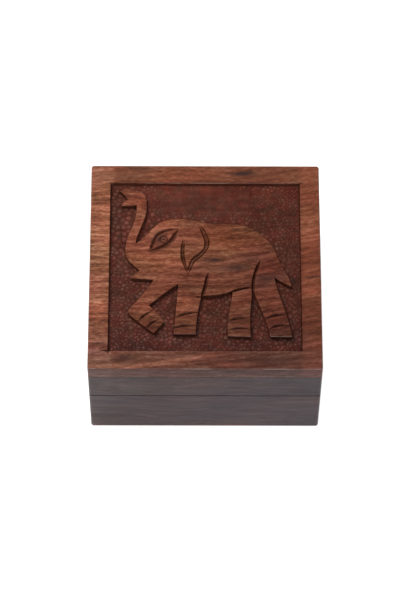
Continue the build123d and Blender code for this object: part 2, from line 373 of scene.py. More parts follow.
# %% The cuts, in millimetres on the lid
# Each cut has its path, its width, its depth, and where its bottom lies: 0 is the middle, and
# -1 and 1 are the left and right sides as the knife travels.
TOE = (1.5, 1.0, 0.4)
CUTS = {
    "foreleg": ([(1.4, -3.4), (1.1, -7.0), (0.6, -10.2), (-0.3, -13.2), (-2.0, -18.5)], 2.2, 1.3, 0.85),
    "knife_tick": ([(-4.9, -15.3), (-3.0, -15.6), (0.4, -15.7)], 0.9, 0.8, 0.3),
    "hind_leg": ([(9.0, -13.9), (12.6, -12.7), (16.6, -11.5), (21.3, -10.9)], 1.3, 1.2, -0.4),
    "flank": (
        [(24.3, 2.6), (23.3, -0.8), (22.3, -3.8), (21.6, -6.8), (21.3, -9.8), (21.3, -12.8), (21.6, -16.5)],
        1.9, 1.2, 0.85,
    ),
    "ear_front_channel": (
        [(-9.6, 13.2), (-9.8, 10.5), (-9.9, 7.5), (-9.7, 4.0), (-8.9, 0.0), (-7.6, -4.6)],
        1.4, 0.7, 0.0,
    ),
    "ear_front_outside": (
        [(-9.9, 12.8), (-10.3, 9.0), (-10.4, 6.0), (-10.1, 3.0), (-9.0, 0.0), (-7.6, -4.6)],
        1.1, 1.0, 0.1,
    ),
    "ear_front_inside": (
        [(-9.2, 12.6), (-9.3, 9.0), (-9.4, 6.5), (-9.1, 3.5), (-8.5, 0.5), (-7.4, -3.6)],
        0.8, 0.9, 0.0,
    ),
    "ear_back_channel": (
        [(-3.0, 20.2), (-1.3, 17.6), (0.3, 14.8), (0.8, 11.8), (0.1, 8.6), (-2.3, 5.6), (-5.0, 2.6),
         (-6.4, -0.6), (-7.5, -4.6)],
        1.7, 0.45, 0.0,
    ),
    "ear_back_inside": (
        [(-2.9, 19.9), (-1.4, 16.6), (-0.5, 14.3), (0.0, 11.8), (-0.5, 8.5), (-2.6, 5.9), (-4.8, 4.2),
         (-6.3, 2.0), (-7.2, -0.8), (-7.7, -3.4)],
        0.95, 0.8, 0.0,
    ),
    "ear_back_outside": (
        [(-2.0, 19.9), (-0.3, 17.5), (0.9, 14.8), (1.6, 12.2), (1.2, 9.2), (-0.2, 6.7), (-2.3, 4.3),
         (-4.4, 2.5), (-5.6, 0.3), (-6.4, -1.8), (-7.3, -4.4)],
        0.95, 0.75, 0.0,
    ),
    "eye_upper": (
        [(-24.3, 6.4), (-23.4, 9.2), (-22.5, 12.0), (-21.2, 14.8), (-19.3, 16.5), (-16.0, 17.7),
         (-12.2, 18.5)],
        2.0, 1.0, -0.3,
    ),
    "eye_lower": (
        [(-25.0, 6.7), (-22.8, 7.1), (-20.7, 7.8), (-17.6, 9.4), (-15.0, 11.6), (-12.95, 14.7),
         (-11.6, 18.3)],
        3.1, 1.1, -0.7,
    ),
    "pupil_dot": ([(-18.7, 13.0), (-18.2, 13.1), (-17.7, 13.0)], 0.9, 0.4, 0.0),
    "toes_fore_1": ([(-13.5, -25.7), (-10.6, -24.4), (-7.0, -23.4), (-3.0, -23.1)], *TOE),
    "toes_fore_2": ([(-14.2, -30.9), (-10.8, -29.8), (-7.6, -29.4), (-3.6, -29.7)], *TOE),
    "toes_raised_1": ([(-29.6, -28.1), (-26.9, -24.9), (-22.2, -21.8)], *TOE),
    "toes_raised_2": ([(-26.2, -31.4), (-23.6, -28.5), (-19.9, -26.4)], *TOE),
    "toes_near_hind_1": ([(9.9, -27.2), (13.6, -26.0), (19.4, -25.7)], *TOE),
    "toes_near_hind_2": ([(9.2, -32.1), (14.2, -30.7), (20.2, -31.3)], *TOE),
    "toes_far_hind_1": ([(26.0, -26.6), (29.9, -24.4), (35.9, -24.5)], *TOE),
    "toes_far_hind_2": ([(26.8, -31.8), (31.2, -29.5), (37.6, -29.6)], *TOE),
    "eye_corner": ([(-12.6, 15.7), (-11.0, 15.4), (-9.6, 15.1)], 0.7, 0.5, 0.0),
    "overcut_left": ([(-45.0, -41.9), (-42.6, -41.9), (-39.6, -41.9)], 1.1, 1.1, 0.0),
    "overcut_front": ([(-42.0, -38.6), (-42.0, -42.0), (-42.0, -44.0)], 1.0, 1.2, 0.0),
    "overcut_right": ([(39.5, 41.6), (42.1, 41.6), (44.2, 41.5)], 0.6, 0.6, 0.0),
}
PUPIL, PUPIL_RADIUS = (-18.2, 13.0), 1.65
PUPIL_RING = (1.0, 0.45, 0.0)
print("straight and curved cuts:", len(CUTS))

# %% Sweep a cutter along each cut
OVER = 0.4 * MM
NARROWED = 0.25


def cut_profile(width, depth, lean):
    """A curve object with the cut's three-cornered section, which reaches over the board's top."""
    half = width / 2 * (depth + OVER) / depth
    corners = [(-half, OVER), (half, OVER), (lean * width / 2, -depth)]
    curve = bpy.data.curves.new("cut_profile", "CURVE")
    spline = curve.splines.new("POLY")
    spline.points.add(2)
    spline.use_cyclic_u = True
    for point, (x, y) in zip(spline.points, corners):
        point.co = (x, y, 0, 1)
    return bpy.data.objects.new("cut_profile", curve)


def cutter(points, width, depth, lean, closed=False):
    """A mesh swept along a smooth path on the lid, narrowed at its open ends."""
    profile = cut_profile(width * MM, depth * MM, lean)
    curve = bpy.data.curves.new("cutter", "CURVE")
    curve.dimensions = "3D"
    curve.twist_mode = "Z_UP"
    curve.bevel_mode = "OBJECT"
    curve.bevel_object = profile
    curve.use_fill_caps = True
    curve.resolution_u = 8
    spline = curve.splines.new("BEZIER")
    spline.bezier_points.add(len(points) - 1)
    spline.use_cyclic_u = closed
    for i, (point, (x, y)) in enumerate(zip(spline.bezier_points, points)):
        point.co = (x * MM, y * MM, lid_top)
        point.handle_left_type = point.handle_right_type = "AUTO"
        at_end = i in (0, len(points) - 1) and not closed
        point.radius = NARROWED if at_end else 1.0
    spline.radius_interpolation = "EASE"
    path = bpy.data.objects.new("cutter", curve)
    bpy.context.scene.collection.objects.link(path)
    bpy.context.view_layer.update()
    mesh = bpy.data.meshes.new_from_object(path.evaluated_get(bpy.context.evaluated_depsgraph_get()))
    for spare in (path, profile):
        bpy.data.objects.remove(spare)
    return mesh


def circle(centre, radius, count=12):
    """Points round a circle."""
    turns = [2 * math.pi * i / count for i in range(count)]
    return [(centre[0] + radius * math.cos(t), centre[1] + radius * math.sin(t)) for t in turns]


cutters = [cutter(*cut) for cut in CUTS.values()]
cutters.append(cutter(circle(PUPIL, PUPIL_RADIUS), *PUPIL_RING, closed=True))
print("cutters:", len(cutters))

# %% [markdown]
# ## The board's own colour
#
# The board's colour changes from place to place. Its left and back borders are paler, some spots
# are dark with wax, others redder or paler, stain and painted shade lie down the carved walls, the
# outer faces carry a painted cool shade, the outer arrises are worn pale, and a highlight is
# painted along the front edge and on the carving's front-facing arrises. All this could be painted
# on an image, but an image blurs when it is looked at closely, and it needs a file. Here each
# change is laid over the rosewood through a mask: a ramp along one axis of the board, an ellipse
# with a frayed edge, or the way the surface faces.


# %% Colour by place
def by_place(tree, axis, stops):
    """Greys or colours from a ramp of millimetres along one axis of the object."""
    place = split(tree, object_place(tree))[axis]
    first, last = stops[0][0], stops[-1][0]
    part = add(tree, "MapRange", {"Value": place, "From Min": first * MM, "From Max": last * MM})
    stops = [
        ((mm - first) / (last - first), tint if isinstance(tint, tuple) else grey(tint))
        for mm, tint in stops
    ]
    return ramp(tree, part.outputs["Result"], stops)


def from_middle(tree):
    """How far a point is from the box's middle: along X, along Y, and the larger of the two."""
    place = split(tree, object_place(tree))
    across, along = (math_node(tree, "ABSOLUTE", place[axis]) for axis in "XY")
    return across, along, math_node(tree, "MAXIMUM", across, along)


BOARD_BROWNS = [(0.054, 0.0148, 0.0081), (0.181, 0.0548, 0.0276), (0.388, 0.152, 0.0885)]
LEFT_TO_RIGHT = [
    (-51, (1.72, 2.0, 2.1)), (-41.5, (1.66, 1.92, 2.0)), (-39.5, 1.28), (-36, 1.2), (0, 0.98),
    (30, 0.84), (40, 0.86), (44, (1.15, 1.10, 1.09)), (51, (1.15, 1.10, 1.09)),
]
FRONT_TO_BACK = [
    (-51, (0.83, 0.98, 1.21)), (-42, (0.83, 0.98, 1.21)), (-40, (0.80, 0.80, 0.91)),
    (-25, (0.92, 0.92, 0.95)), (0, 0.95), (18, 1.08), (40, 1.10), (43, (1.17, 1.24, 1.28)),
    (51, (1.17, 1.24, 1.28)),
]
CALM = {
    "X": [(-51, 0.0), (41, 0.0), (43, 0.25), (51, 0.25)],
    "Y": [(-51, 0.2), (-43, 0.2), (-41, 0.0), (36, 0.0), (43, 0.3), (51, 0.3)],
}


def faded(tree, base):
    """Calmer grain on three borders, and the slow change from left to right and front to back."""
    for axis, calm in CALM.items():
        base = mix(tree, "MIX", by_place(tree, axis, calm), base, BOARD_BROWNS[1])
    base = mix(tree, "MULTIPLY", 1.0, base, by_place(tree, "X", LEFT_TO_RIGHT))
    return mix(tree, "MULTIPLY", 1.0, base, by_place(tree, "Y", FRONT_TO_BACK))


# %% Patches
# Each patch has its centre and its half widths in millimetres, its strength, and its turn in
# degrees where it has one.
SMUDGE_BROWN = (0.055, 0.024, 0.019)
SMUDGES = [
    ((17.0, 46.6), (8.0, 1.7), 0.75, 2.0),
    ((4.0, 2.6), (4.6, 1.6), 0.6),
    ((14.0, -1.0), (10.0, 2.6), 0.5, 4.0),
    ((-35.0, -45.5), (8.0, 2.2), 0.45, 3.0),
    ((27.0, -6.5), (8.0, 3.4), 0.45),
    ((30.0, -47.0), (20.0, 4.5), 0.3, 2.0),
    ((-19.9, 13.6), (5.0, 4.0), 0.5, 38.0),
    ((-28.0, 49.0), (10.0, 1.6), 0.35, -6.0),
    ((47.0, -5.7), (5.0, 1.1), 0.55, 12.0),
    ((-46.0, -38.5), (4.5, 1.2), 0.5),
]
PALER = (1.55, 1.5, 1.45)
PALE_PATCHES = [
    ((-14.0, 2.5), (14.0, 10.0), 0.7),
    ((10.0, 11.0), (16.0, 8.0), 0.35),
    ((-28.4, 33.0), (6.0, 6.5), 0.5),
    ((-18.0, 21.0), (13.0, 4.5), 0.35, 10.0),
    ((14.0, -19.0), (7.0, 3.0), 0.4),
    ((-9.0, -32.5), (7.0, 3.2), 0.45),
    ((14.0, -34.5), (8.0, 3.2), 0.35),
    ((-27.0, 3.0), (8.0, 7.0), 0.35),
    ((-45.0, 20.0), (5.5, 30.0), 0.25),
    ((-9.0, 45.5), (20.0, 5.5), 0.55),
    ((36.0, 46.5), (20.0, 5.0), 0.3),
    ((-8.0, -22.0), (8.0, 12.0), 0.45),
    ((46.0, 10.0), (6.0, 34.0), 0.25),
    ((-14.8, -47.0), (24.0, 1.6), 1.5, 9.8),
    ((-40.0, -49.8), (15.0, 1.7), 0.8),
    ((12.0, -48.8), (13.0, 2.2), 0.5, 3.0),
    ((46.0, -13.0), (6.0, 1.6), 0.5, 10.0),
    ((-46.5, -21.5), (6.0, 8.0), 0.7),
    ((28.0, -12.5), (8.0, 1.8), 0.6, 6.0),
    ((30.0, -18.5), (8.0, 2.2), 0.5, 4.0),
    ((15.0, -14.5), (7.0, 1.8), 0.4, 4.0),
    ((-8.0, -18.0), (8.0, 3.2), 0.4),
    ((-26.0, -20.0), (8.0, 6.5), 0.38, 45.0),
]
REDDER, GOLDEN, COOLER = (0.96, 0.78, 0.86), (1.0, 1.02, 0.86), (0.98, 1.08, 1.14)
DARKER, PALER_BLUER = (0.72, 0.74, 0.80), (1.2, 1.36, 1.4)
TINTED_PATCHES = {
    REDDER: [
        ((28.0, -2.0), (10.0, 9.0), 0.6),
        ((31.0, -24.0), (9.0, 13.0), 0.8),
        ((15.0, -24.0), (6.0, 12.0), 0.4),
        ((20.0, -47.0), (32.0, 6.0), 0.25),
        ((22.0, 7.0), (10.0, 8.0), 0.7),
    ],
    GOLDEN: [((13.0, 14.0), (26.0, 10.0), 0.6)],
    COOLER: [
        ((-48.0, 46.0), (9.0, 8.0), 0.7),
        ((-31.0, 36.0), (10.0, 9.0), 0.5),
        ((31.0, -33.0), (9.0, 7.0), 0.6),
        ((14.0, -34.0), (8.0, 5.0), 0.5),
    ],
    DARKER: [
        ((-34.0, 45.0), (13.0, 4.0), 0.7),
        ((24.0, -10.0), (11.0, 4.5), 0.8),
        ((34.5, -4.5), (7.0, 5.0), 0.8),
        ((21.0, 3.5), (9.0, 3.0), 0.6, 4.0),
        ((-4.0, -1.5), (17.0, 8.0), 0.4),
        ((25.0, -43.8), (12.0, 2.4), 0.4),
        ((-47.0, -43.0), (6.0, 3.0), 0.4),
    ],
    PALER_BLUER: [
        ((-48.0, -18.0), (6.0, 6.5), 0.5),
        ((-28.0, -9.5), (5.5, 4.0), 0.45),
    ],
}
print("patches:", len(SMUDGES) + len(PALE_PATCHES) + sum(map(len, TINTED_PATCHES.values())))

# %% Lay the patches on
FRAY_ALONG, FRAY_ACROSS = 4.0, 1.2


def patch(tree, centre, reach, turn=0.0):
    """A mask that fades out over an ellipse on the lid, in millimetres, with a frayed edge."""
    place = object_place(tree)
    fray = add(tree, "TexNoise", {"Vector": place, "Scale": 300.0, "Detail": 3.0}).outputs["Color"]
    pull = vector_node(tree, "MULTIPLY_ADD", fray, (FRAY_ALONG * MM, FRAY_ACROSS * MM, 0.0), place)
    # The noise pulls each point by half the fray on average, so the ellipse is moved with it.
    ellipse = {
        "Vector": pull,
        "Location": ((centre[0] + FRAY_ALONG / 2) * MM, (centre[1] + FRAY_ACROSS / 2) * MM, lid_top),
        "Rotation": (0, 0, math.radians(turn)),
        "Scale": (reach[0] * MM, reach[1] * MM, 4 * MM),
    }
    mapped = add(tree, "Mapping", ellipse, vector_type="TEXTURE").outputs[0]
    return add(tree, "TexGradient", {"Vector": mapped}, gradient_type="SPHERICAL").outputs["Fac"]


def patched(tree, base, patches, how, colour, gain=1.6):
    """The base with a colour blended in over each patch."""
    for centre, reach, strength, *turn in patches:
        spot = patch(tree, centre, reach, *turn)
        spot = math_node(tree, "MULTIPLY", spot, gain * strength, clamp=True)
        base = mix(tree, how, spot, base, colour)
    return base


# %% Stain and painted shade on the carved walls, and painted cool shade on the outer faces
TOP = lid_top / MM
# Stain and painted shade by depth: the cuts and carved walls darken downwards, where shade falls.
DEPTH_STAIN_AND_SHADE = [(TOP - 2.2, 0.45), (TOP - 0.9, 0.38), (TOP - 0.4, 0.56), (TOP - 0.12, 0.95), (TOP, 1.0)]
# Field walls: stain and painted shade in a thin line under the rim, and painted light below it.
FIELD_WALL_STAIN_AND_SHADE = [(TOP - 2.2, 0.95), (TOP - 0.9, 0.85), (TOP - 0.45, 0.5), (TOP - 0.12, 0.92), (TOP, 1.0)]
# Outer faces: darker in a band under the top; upright ones get a cool tint, a painted cool shade.
OUTER_BY_HEIGHT = [(TOP - 8.0, 1.06), (TOP - 3.5, 1.0), (TOP - 2.0, 0.82), (TOP - 0.4, 0.82), (TOP, 1.0)]
OUTER_COOL_SHADE = (0.88, 0.98, 1.22)
# From the middle: the field's own walls and the band they lie in, the border, and the outer faces.
FIELD_WALL, FIELD_WALL_BAND = 41.85 * MM, 0.55 * MM
ON_BORDER, OUTER_FACE = 46 * MM, 50 * MM


def surface_normal(tree):
    """The X, Y and Z outputs of the direction that the surface faces."""
    return split(tree, add(tree, "TexCoord").outputs["Normal"])


def stained_and_shaded(tree, base):
    """Stain and painted shade by depth, lighter on the field's walls, painted cool shade on outer faces."""
    away = from_middle(tree)[2]
    at_wall = math_node(tree, "COMPARE", away, FIELD_WALL, FIELD_WALL_BAND)
    stain_and_shade = mix(tree, "MIX", at_wall, by_place(tree, "Z", DEPTH_STAIN_AND_SHADE), by_place(tree, "Z", FIELD_WALL_STAIN_AND_SHADE))
    base = mix(tree, "MULTIPLY", math_node(tree, "LESS_THAN", away, ON_BORDER), base, stain_and_shade)
    upright = ramp(tree, surface_normal(tree)["Z"], [(0.1, OUTER_COOL_SHADE), (0.5, grey(1))])
    upright = mix(tree, "MULTIPLY", 1.0, upright, by_place(tree, "Z", OUTER_BY_HEIGHT))
    return mix(tree, "MULTIPLY", math_node(tree, "GREATER_THAN", away, OUTER_FACE), base, upright)


# %% Worn arrises, and painted highlights on arrises
# Pale arrises: wear on the outer arrises, and a painted highlight at the front and in the field.
PALE_ARRIS_WEAR_AND_HIGHLIGHT = (0.45, 0.295, 0.255)
SLANTED = [(0.35, grey(0)), (0.55, grey(1)), (0.82, grey(1)), (0.94, grey(0))]
# The strip along the front edge of the top carries a painted highlight.
FRONT_STRIP = -50.5 * MM
LIT_AT_BACK = [(-51, 0.0), (-28, 0.0), (-25, 0.9), (8, 0.9), (12, 0.3), (51, 0.3)]
LIT_AT_FEET = [(-51, 0.0), (-17, 0.0), (-15, 0.6), (1, 0.8), (4, 1.0), (51, 1.0)]
BY_FEET, FEET_END, FIELD_BACK_END = -30 * MM, -33 * MM, 40 * MM


def outside_wear_and_highlight(tree, base):
    """The board's outer arrises and the strip along its front edge made pale: wear and a painted highlight.
    """
    normal = surface_normal(tree)
    place = split(tree, object_place(tree))
    outer = math_node(tree, "GREATER_THAN", from_middle(tree)[2], OUTER_FACE)
    edge = mix(tree, "MULTIPLY", 1.0, ramp(tree, normal["Z"], SLANTED), outer)
    in_front = math_node(tree, "LESS_THAN", place["Y"], FRONT_STRIP)
    strip = times(tree, in_front, math_node(tree, "GREATER_THAN", normal["Z"], 0.9))
    edge = mix(tree, "ADD", 1.0, edge, strip)
    return mix(tree, "MIX", broken_up(tree, edge, 0.44, 0.60, 130.0, 0.35), base, PALE_ARRIS_WEAR_AND_HIGHLIGHT)


def carving_arris_highlight(tree, base):
    """A painted highlight on front-facing arrises at the standing feet's ends and the field's back."""
    normal = surface_normal(tree)
    place = split(tree, object_place(tree))
    to_front = math_node(tree, "LESS_THAN", normal["Y"], -0.3)
    at_feet = math_node(tree, "LESS_THAN", place["Y"], BY_FEET)
    at_right = mix(tree, "MIX", at_feet, by_place(tree, "X", LIT_AT_BACK), by_place(tree, "X", LIT_AT_FEET))
    middle, half = (FIELD_BACK_END + FEET_END) / 2, (FIELD_BACK_END - FEET_END) / 2
    past = math_node(tree, "ABSOLUTE", math_node(tree, "SUBTRACT", place["Y"], middle))
    at_ends = math_node(tree, "GREATER_THAN", past, half)
    inside = math_node(tree, "LESS_THAN", from_middle(tree)[2], ON_BORDER)
    lit = times(tree, to_front, at_right, at_ends, inside)
    lit = mix(tree, "MULTIPLY", 1.0, ramp(tree, normal["Z"], SLANTED), lit)
    return mix(tree, "MIX", broken_up(tree, lit, 0.30, 0.50, 250.0, 0.25), base, PALE_ARRIS_WEAR_AND_HIGHLIGHT)


# %% The board's finish
CLIMB_FROM, CLIMB = 6 * MM, 2.2
FRONT_BEGINS, FRONT_FULL = -34 * MM, -42 * MM
SLOPE, MORE_AT_FRONT = 0.04, 0.06


def board_bend(tree, place):
    """Grain that runs nearly level, climbs to the right, and climbs a little along the front."""
    x, y, z = split(tree, place)
    at_front = add(tree, "MapRange", {"Value": y, "From Min": FRONT_BEGINS, "From Max": FRONT_FULL})
    at_front = at_front.outputs["Result"]
    past = math_node(tree, "MAXIMUM", math_node(tree, "ADD", x, -CLIMB_FROM), 0.0)
    climb = times(tree, past, past, CLIMB, math_node(tree, "SUBTRACT", 1.0, at_front))
    slope = math_node(tree, "MULTIPLY_ADD", at_front, MORE_AT_FRONT, SLOPE)
    climb = math_node(tree, "MULTIPLY_ADD", x, slope, climb)
    level = math_node(tree, "SUBTRACT", y, climb)
    return add(tree, "CombineXYZ", {"X": x, "Y": level, "Z": z}).outputs[0]


def board_marks(tree, base):
    """Everything that sets the board's colour apart from plain rosewood, in order."""
    base = faded(tree, base)
    base = patched(tree, base, SMUDGES, "MIX", SMUDGE_BROWN, gain=1.9)
    base = patched(tree, base, PALE_PATCHES, "MULTIPLY", PALER)
    for tint, patches in TINTED_PATCHES.items():
        base = patched(tree, base, patches, "MULTIPLY", tint)
    return carving_arris_highlight(tree, outside_wear_and_highlight(tree, stained_and_shaded(tree, base)))


board_wood = rosewood(
    "board_rosewood", BOARD_BROWNS, board_marks, wander=0.0055, shine=0.11, length=0.78, bend=board_bend
)
print("nodes in the board's finish:", len(board_wood.node_tree.nodes))


# %% Take the cuts from the board
def take_away(piece, meshes):
    """Each mesh cut from the piece with an exact boolean, in turn."""
    for mesh in meshes:
        tool = bmesh.new()
        tool.from_mesh(mesh)
        bmesh.ops.remove_doubles(tool, verts=tool.verts, dist=0.002 * MM)
        bmesh.ops.recalc_face_normals(tool, faces=tool.faces)
        tool.to_mesh(mesh)
        tool.free()
        knife = bpy.data.objects.new("knife", mesh)
        bpy.context.scene.collection.objects.link(knife)
        cut = piece.modifiers.new("cut", "BOOLEAN")
        cut.operation = "DIFFERENCE"
        cut.solver = "EXACT"
        cut.object = knife
        bpy.context.view_layer.update()
        carved = bpy.data.meshes.new_from_object(
            piece.evaluated_get(bpy.context.evaluated_depsgraph_get())
        )
        piece.modifiers.clear()
        old = piece.data
        piece.data = carved
        bpy.data.meshes.remove(old)
        bpy.data.objects.remove(knife)


carved_board = to_object(board, "carved_board", board_wood)
take_away(carved_board, cutters)
print("board faces after the cuts:", len(carved_board.data.polygons))

# %% Make the board triangles
# The cuts leave large faces with many corners and notches. An export that splits them in its own
# way can leave stray flaps by a narrow cut, so they are split here.
carved = bmesh.new()
carved.from_mesh(carved_board.data)
bmesh.ops.remove_doubles(carved, verts=carved.verts, dist=0.002 * MM)
bmesh.ops.triangulate(carved, faces=carved.faces)
shade_smooth(carved, CRISP)
carved.to_mesh(carved_board.data)
carved.free()
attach(carved_board, "lid")
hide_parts("lid_panel")
print("board triangles:", len(carved_board.data.polygons))

# %% [markdown]
# ## The punched ground
#
# Round the elephant the carver strikes a small hollow punch thousands of times, and each blow
# leaves a round pebble of wood between dark rings. A bump in the finish could draw them, but the
# real ones catch the light one by one, so these are real relief. A fine grid lies on the floor
# of the field. A point of it rises where one blow is clearly the nearest, and stays low where two
# are equally near, which is on a ring. How far it rose is kept on the point as an attribute, so
# that the colour can darken the rings with stain and painted shade, and light the pebbles' tops
# with bare wood and a painted highlight.

# %% Where the blows fall
BORDER_SIDE, BORDER_FRONT, BORDER_BACK = 8.7 * MM, 8.8 * MM, 9.2 * MM
FIELD_LEFT, FIELD_RIGHT = board_low.x + BORDER_SIDE, board_high.x - BORDER_SIDE
FIELD_FRONT, FIELD_BACK = board_low.y + BORDER_FRONT, board_high.y - BORDER_BACK
BY_TRUNK = ((-36, 18), (9, 24))
BEHIND_BACK = ((-4, 34), (34, 13))


def in_ellipse(x, y, centre, reach):
    """1 at the middle of an ellipse, falling to 0 at its rim, all in millimetres."""
    return max(0.0, 1 - math.hypot((x - centre[0]) / reach[0], (y - centre[1]) / reach[1]))


def swept(x, y):
    """How worn smooth the ground is at a place: most behind the back, between trunk and tail."""
    return in_ellipse(x, y, *BEHIND_BACK)


def nearness(x, y, reach):
    """1 at the elephant's outline, falling to 0 at a reach from it, all in millimetres."""
    gap = elephant_walls.find_nearest(Vector((x, y, 0)) * MM + Vector((0, 0, lid_top - 1 * MM)))[3] / MM
    return max(0.0, 1 - gap / reach)


def coarseness(x, y):
    """How large the blows are at a place: large round the trunk and head and near the outline."""
    coarse = 0.2 + 1.1 * in_ellipse(x, y, *BY_TRUNK) + 0.75 * nearness(x, y, 7.0) - 0.4 * swept(x, y)
    return max(0.0, min(1.0, coarse))


print("the field is", round((FIELD_RIGHT - FIELD_LEFT) / MM, 1), "mm wide")

# %% Blows of the punch
# In millimetres: how far from the middle a blow is thrown, and the radii of the blows, which vary
# by a spread. Two blows keep at least a share of their two radii apart. A blow's strength is
# random up to the strongest, and coarser blows are stronger. Cells hold the blows that are kept,
# so that a new one is compared only with those near it.
THROWS, THROWN_TO = 30000, 43
FINE_BLOW, COARSE_BLOW = 0.55, 1.3
SPREAD = (0.78, 1.12)
KEPT_APART = 0.84
STRONGEST, STRONGER_IF_COARSE = 0.85, 0.25
CELL = 2.0
random.seed(7)


def punched_places():
    """Blows thrown one by one and kept where they don't crowd the earlier ones."""
    grid, found = {}, []
    for _ in range(THROWS):
        x, y = random.uniform(-THROWN_TO, THROWN_TO), random.uniform(-THROWN_TO, THROWN_TO)
        coarse = coarseness(x, y)
        reach = random.uniform(*SPREAD) * (FINE_BLOW + (COARSE_BLOW - FINE_BLOW) * coarse)
        column, row = int(x // CELL), int(y // CELL)
        near = [
            other
            for i in (-1, 0, 1)
            for j in (-1, 0, 1)
            for other in grid.get((column + i, row + j), ())
        ]
        if all(math.hypot(x - u, y - v) > KEPT_APART * (reach + r) for u, v, r, _ in near):
            strength = random.uniform(0.0, STRONGEST) + STRONGER_IF_COARSE * coarse
            blow = (x, y, reach, min(1.0, strength))
            grid.setdefault((column, row), []).append(blow)
            found.append(blow)
    return found


blows = punched_places()
tree_of_blows = KDTree(len(blows))
for i, (x, y, _, _) in enumerate(blows):
    tree_of_blows.insert((x, y, 0), i)
tree_of_blows.balance()
print("blows:", len(blows))


# %% Sheets of fine grid
def level_sheet(left, right, front, back, level, columns, rows):
    """A bmesh of a level grid between four sides."""
    sheet = bmesh.new()
    middle = Matrix.Translation(((left + right) / 2, (front + back) / 2, level))
    size = Matrix.Diagonal((right - left, back - front, 1, 1))
    bmesh.ops.create_grid(sheet, x_segments=columns, y_segments=rows, size=0.5, matrix=middle @ size)
    return sheet


def close_below(sheet, level):
    """The sheet's rims carried straight down to a level and filled, which makes it a solid."""
    rim = [edge for edge in sheet.edges if edge.is_boundary]
    skirt = bmesh.ops.extrude_edge_only(sheet, edges=rim)["geom"]
    for part in skirt:
        if isinstance(part, bmesh.types.BMVert):
            part.co.z = level
    lower_rim = [part for part in skirt if isinstance(part, bmesh.types.BMEdge) and part.is_boundary]
    bmesh.ops.triangle_fill(sheet, edges=lower_rim, use_beauty=True)
    bmesh.ops.recalc_face_normals(sheet, faces=sheet.faces)


# %% The ground's relief
CARVING_DEPTH = 2.0 * MM
GRID = 0.235 * MM
SKIN = 0.3 * MM
# In millimetres: the flat ditch along each wall, the width of a ring, and a pebble's reach.
DITCH, RING, PEBBLE = 0.5, 1.0, 1.5
# In millimetres: the sheet's lift off the field's floor, the mean height of its swell, the height
# of a pebble, and the height and width of the slope that was left along the field's back wall.
LIFTED, SWELL, PEBBLE_HEIGHT = 0.03, 0.10, 0.20
BACK_SLOPE, BACK_SLOPE_WIDTH = 0.55, 3.5
# How many swells there are to a millimetre, how much of the pebbles is worn off at most, and how
# bare of stain the worn ground is.
SWELLS, WORN_OFF, WORN_BARE = 0.2, 0.65, 0.42
floor_level = lid_top - CARVING_DEPTH


def pebble(x, y):
    """The ground's rise at a place, from 0 in a ring to its blow's own height at the middle."""
    (_, index, near), (_, _, next_near) = tree_of_blows.find_n((x, y, 0), 2)
    strength = blows[index][3]
    ring = min(1.0, (next_near - near) / RING)
    return ring * max(0.15, 1 - (near / PEBBLE) ** 2) * (0.15 + 0.85 * strength)


def on_elephant(x, y):
    """Whether a place on the board is under the elephant."""
    hit = whole_board.ray_cast(Vector((x, y, lid_top + 10 * MM)), Vector((0, 0, -1)))[0]
    return hit.z > lid_top - CARVING_DEPTH / 2


columns, rows = round((FIELD_RIGHT - FIELD_LEFT) / GRID), round((FIELD_BACK - FIELD_FRONT) / GRID)
ground = level_sheet(FIELD_LEFT, FIELD_RIGHT, FIELD_FRONT, FIELD_BACK, floor_level, columns, rows)
rise = ground.verts.layers.float.new("rise")
hidden = []
for vert in ground.verts:
    x, y = vert.co.x, vert.co.y
    gap = all_walls.find_nearest(Vector((x, y, floor_level + CARVING_DEPTH / 2)))[3] / MM
    if gap > 2 * DITCH and on_elephant(x, y):
        hidden.append(vert)
        continue
    open_ground = min(1.0, gap / DITCH)
    swell = SWELL + SWELL * noise(Vector((x / MM * SWELLS, y / MM * SWELLS, 3.0)))
    worn = WORN_OFF * swept(x / MM, y / MM)
    lift = pebble(x / MM, y / MM) * (1 - worn)
    slope = BACK_SLOPE * max(0.0, 1 - (FIELD_BACK - y) / (BACK_SLOPE_WIDTH * MM)) ** 1.5
    # By the walls the rise falls to 0, which gives a ring's dark there: stain and painted shade.
    vert[rise] = (lift + WORN_BARE * worn) * open_ground
    vert.co.z += (LIFTED + (swell + PEBBLE_HEIGHT * lift) * open_ground + slope) * MM
bmesh.ops.delete(ground, geom=hidden, context="VERTS")
print("ground points:", len(ground.verts))
close_below(ground, floor_level - SKIN)

# %% The ground's finish: stain, painted shade and painted highlight
# From ring to top: stain and painted shade in the rings, bare wood and a painted highlight on top.
GROUND_RING = (0.082, 0.0240, 0.0160)
GROUND_MIDDLE = (0.113, 0.0347, 0.0232)
GROUND_TOP = (0.175, 0.063, 0.046)
GROUND_LEFT_TO_RIGHT = [
    (-42, 1.14), (-30, 1.09), (-20, (1.08, 1.04, 1.03)), (0, (1.03, 0.98, 0.95)),
    (20, (0.95, 0.90, 0.86)), (42, (0.93, 0.87, 0.84)),
]
GROUND_FRONT_TO_BACK = [
    (-42, (0.83, 0.85, 0.97)), (-20, 0.93), (10, 1.03), (27, 1.08), (42, (1.26, 1.16, 1.14)),
]
# Two darker patches by the trunk, and painted light at the field's back against the back wall's shadow.
GROUND_PATCHES_AND_PAINTED_LIGHT = [
    ((-39.5, 33.0), (7.0, 12.0), 0.5), ((-38.0, 15.0), (8.0, 16.0), 0.72), ((-4.0, 39.5), (24.0, 6.0), 1.3),
]
# Pale specks in the ground, most at the front.
PALE_SPECK_COLOUR = (0.25, 0.140, 0.110)
PALE_SPECKS_FRONT_TO_BACK = [(-42, 1.0), (-5, 0.8), (20, 0.35), (42, 0.15)]
KNOT = ((38.8, -6.6), (3.4, 3.0))
KNOT_BROWN = (0.020, 0.010, 0.008)


